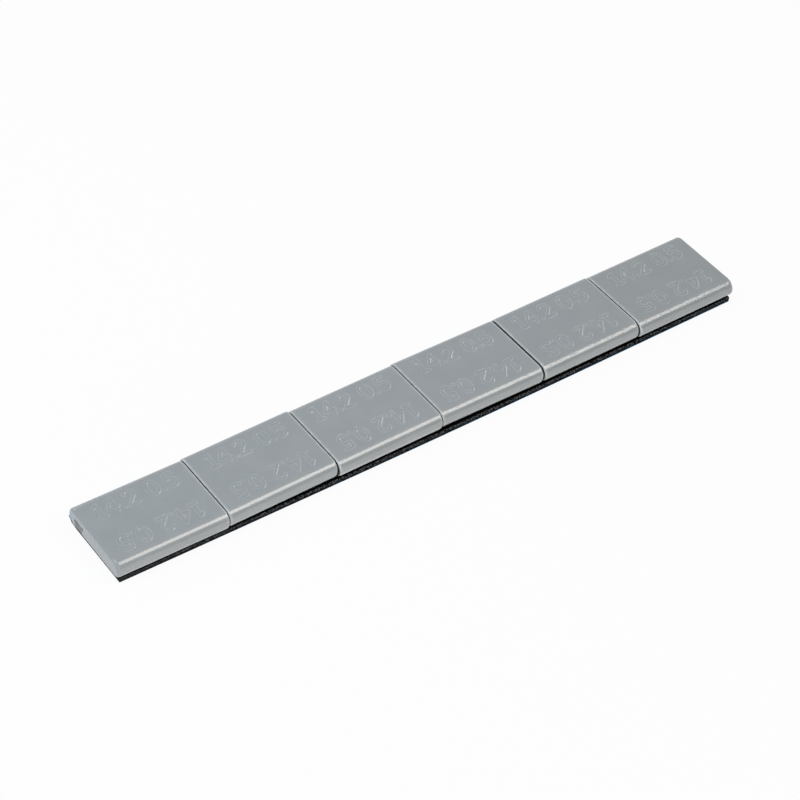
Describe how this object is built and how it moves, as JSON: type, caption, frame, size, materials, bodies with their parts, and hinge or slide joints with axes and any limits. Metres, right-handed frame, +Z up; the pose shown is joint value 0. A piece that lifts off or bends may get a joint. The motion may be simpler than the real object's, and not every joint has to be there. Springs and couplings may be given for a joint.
{
  "type": "adhesive wheel balance weight strip",
  "caption": "Row of grey painted steel balance weights on one black foam tape with a blue release liner, to be cut off and stuck inside a wheel rim.",
  "frame": {"origin": "middle of the strip's underside, on the liner that covers the adhesive", "axes": "+X along the row of weights, +Y across it towards the liner's border, +Z up out of the tape"},
  "size_m": [0.1444, 0.0214, 0.0052],
  "materials": {
    "painted_steel": "satin grey paint on steel",
    "foam": "matt black closed-cell foam",
    "liner_film": "smooth blue film"
  },
  "bodies": {
    "root": {"weight_1": "painted_steel", "weight_2": "painted_steel", "weight_3": "painted_steel", "weight_4": "painted_steel", "weight_5": "painted_steel", "weight_6": "painted_steel", "foam_tape": "foam", "release_liner": "liner_film"}
  },
  "joints": []
}
